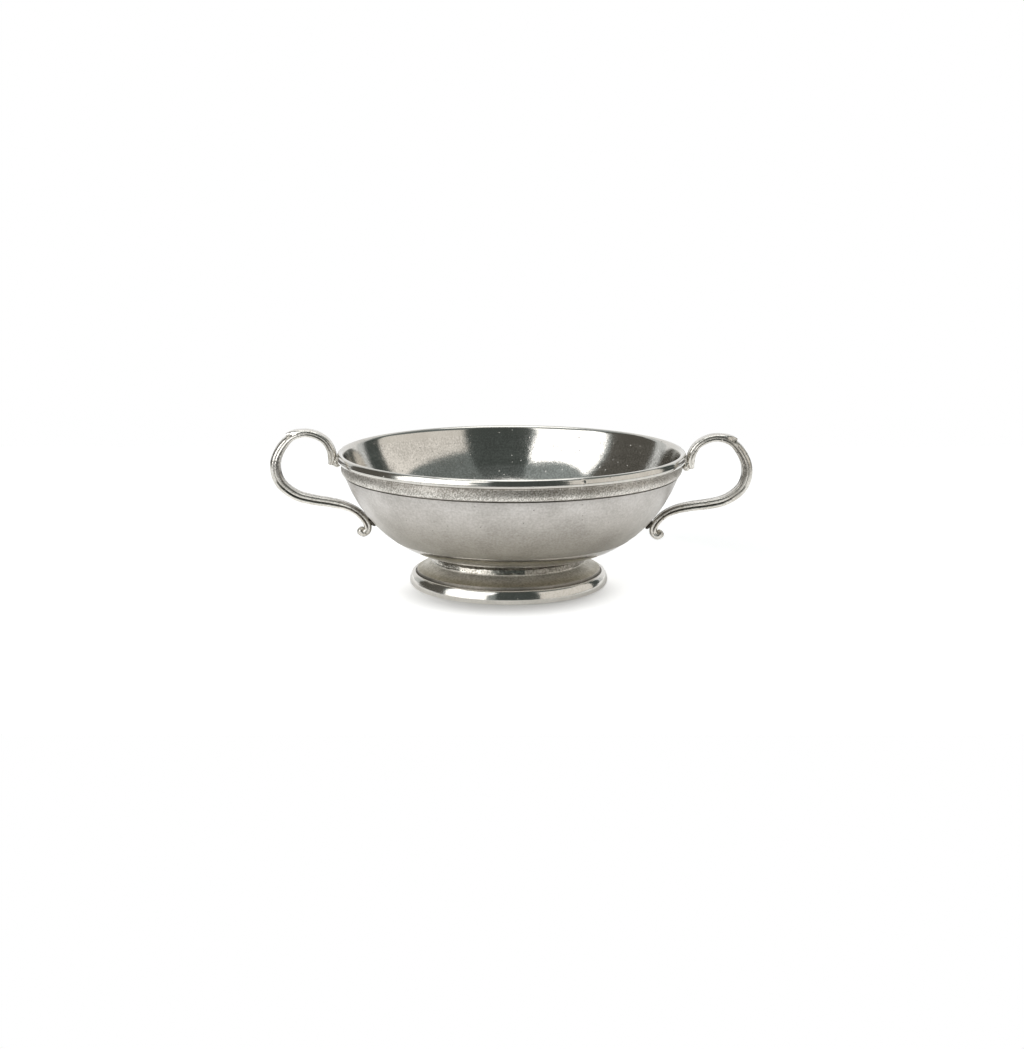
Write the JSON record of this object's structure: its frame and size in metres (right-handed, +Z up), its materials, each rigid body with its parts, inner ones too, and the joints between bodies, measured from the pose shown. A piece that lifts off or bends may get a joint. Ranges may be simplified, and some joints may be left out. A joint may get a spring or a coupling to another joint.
{
  "type": "footed two-handled bowl",
  "caption": "Shallow round pewter bowl with a rounded lip, a matt band and a turned groove, on a spreading turned foot, with a cast scroll handle soldered on at each side.",
  "frame": {"origin": "on the surface the foot stands on, below the middle of the bounding box, which is the bowl's axis to within 0.2 mm", "axes": "+X runs along the two handles towards the right one, which sits a little lower; +Y away from the picture's camera; +Z up"},
  "size_m": [0.1942, 0.14, 0.0629],
  "materials": {
    "satin_pewter": "pewter, turned and satin finished",
    "polished_pewter": "pewter, turned and burnished",
    "cast_pewter": "pewter, as cast with fine pits, wiped bright on the crowns",
    "solder": "soft solder, dull and slightly pitted"
  },
  "bodies": {
    "root": {"bowl": "satin_pewter", "foot": "polished_pewter", "foot_solder_ring": "solder", "handle_left": "cast_pewter", "left_rim_solder": "solder", "left_wall_solder": "solder", "handle_right": "cast_pewter", "right_rim_solder": "solder", "right_wall_solder": "solder"}
  },
  "joints": []
}
